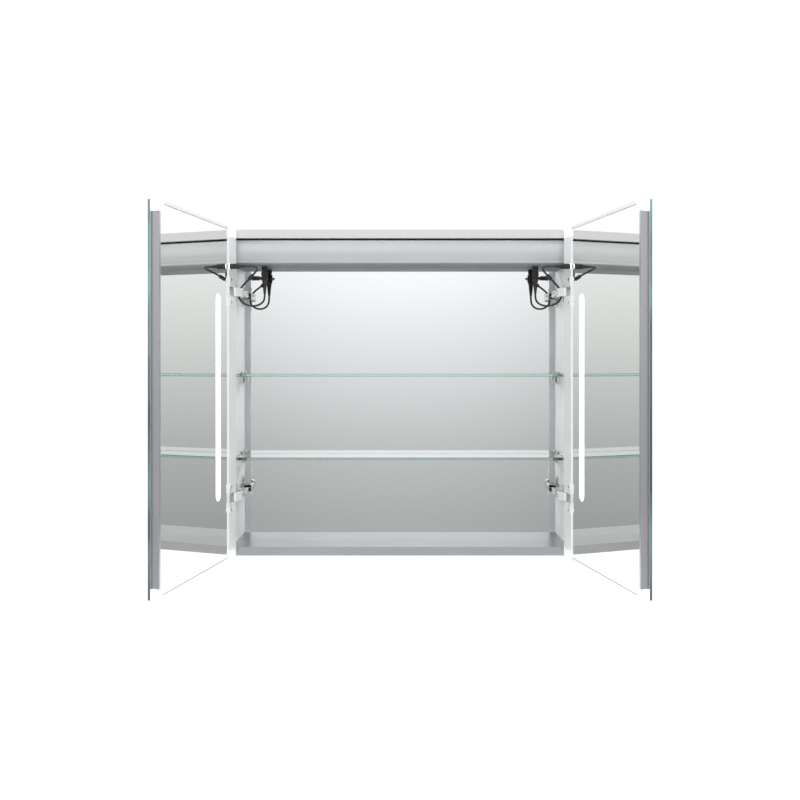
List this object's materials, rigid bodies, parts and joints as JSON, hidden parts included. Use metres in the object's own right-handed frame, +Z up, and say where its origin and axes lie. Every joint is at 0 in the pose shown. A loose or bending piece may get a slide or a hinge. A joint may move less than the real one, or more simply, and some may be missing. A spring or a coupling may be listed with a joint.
{
  "type": "illuminated mirror cabinet",
  "caption": "Wall-hung bathroom mirror cabinet: aluminium casing, mirrored back, glass shelves and mirrored doors with light strips on concealed hinges.",
  "frame": {"origin": "midway between the two wall screws of the hanging rail, on the wall's surface", "axes": "+X to the user's right as they face the cabinet, +Y into the wall, +Z up"},
  "size_m": [0.876, 0.4898, 0.7],
  "materials": {
    "anodised": "satin",
    "cast_bracket": "cast",
    "mirror_glass": "silvered float glass",
    "back_sheet": "primed",
    "grommet_rubber": "matte",
    "zinc_steel": "zinc plated",
    "canopy_finish": "satin",
    "white_plastic": "matte",
    "shelf_glass": "clear with polished edges",
    "grey_plastic": "fine grain",
    "nickel": "nickel plated",
    "black_lead": "satin",
    "pale_pad": "soft",
    "light_shade": "opal",
    "led_board": "white solder mask"
  },
  "bodies": {
    "cabinet": {"side_panel_left": "anodised", "side_panel_right": "anodised", "top_panel": "anodised", "bottom_panel": "anodised", "corner_cleats": "cast_bracket", "back_mirror": "mirror_glass", "back_sheet": "back_sheet", "inlet_grommet": "grommet_rubber", "hanging_hook": "zinc_steel", "wall_rail": "zinc_steel", "wall_spacers": "grommet_rubber", "canopy_cover": "canopy_finish", "canopy_caps": "canopy_finish", "canopy_screws": "zinc_steel", "led_driver": "white_plastic", "terminal_block": "white_plastic", "shelf_upper": "shelf_glass", "shelf_lower": "shelf_glass", "shelf_supports": "grey_plastic", "hinge_plates": "nickel", "hinge_arms": "nickel", "hinge_pins": "nickel", "hinge_screws": "nickel", "door_lead_left": "black_lead", "door_lead_right": "black_lead", "lead_sleeve_left": "black_lead", "lead_sleeve_right": "black_lead", "lead_connectors": "black_lead", "lead_glands": "grey_plastic"},
    "left_door": {"hinge_cups_left": "nickel", "cup_screws_left": "nickel", "door_corners_left": "grey_plastic", "hinge_stile_left": "anodised", "free_stile_left": "anodised", "door_rails_left": "anodised", "outer_mirror_left": "mirror_glass", "inner_mirror_left": "mirror_glass", "light_diffuser_left": "light_shade", "led_strip_left": "led_board", "door_bumpers_left": "pale_pad", "door_sockets_left": "pale_pad", "door_plugs_left": "black_lead"},
    "right_door": {"hinge_cups_right": "nickel", "cup_screws_right": "nickel", "door_corners_right": "grey_plastic", "hinge_stile_right": "anodised", "free_stile_right": "anodised", "door_rails_right": "anodised", "outer_mirror_right": "mirror_glass", "inner_mirror_right": "mirror_glass", "light_diffuser_right": "light_shade", "led_strip_right": "led_board", "door_bumpers_right": "pale_pad", "door_sockets_right": "pale_pad", "door_plugs_right": "black_lead"},
    "left_links": {"hinge_links_left": "nickel"},
    "right_links": {"hinge_links_right": "nickel"}
  },
  "joints": [
    {"name": "left_door_swing", "type": "hinge", "parent": "cabinet", "child": "left_door", "pos_m": [-0.368, -0.126, 0], "axis": [0, 0, 1], "range_deg": [0, 100.3], "deforming": ["door_lead_left", "lead_sleeve_left"]},
    {"name": "left_link_swing", "type": "hinge", "parent": "cabinet", "child": "left_links", "pos_m": [-0.3385, -0.105, 0], "axis": [0, 0, 1], "range_deg": [-55.2, 0]},
    {"name": "right_door_swing", "type": "hinge", "parent": "cabinet", "child": "right_door", "pos_m": [0.368, -0.126, 0], "axis": [0, 0, -1], "range_deg": [0, 100.3], "deforming": ["door_lead_right", "lead_sleeve_right"]},
    {"name": "right_link_swing", "type": "hinge", "parent": "cabinet", "child": "right_links", "pos_m": [0.3385, -0.105, 0], "axis": [0, 0, -1], "range_deg": [-55.2, 0]}
  ],
  "couplings": [
    {"joint": "left_link_swing", "follows": "left_door_swing", "ratio": -0.54836},
    {"joint": "right_link_swing", "follows": "right_door_swing", "ratio": -0.54836}
  ]
}
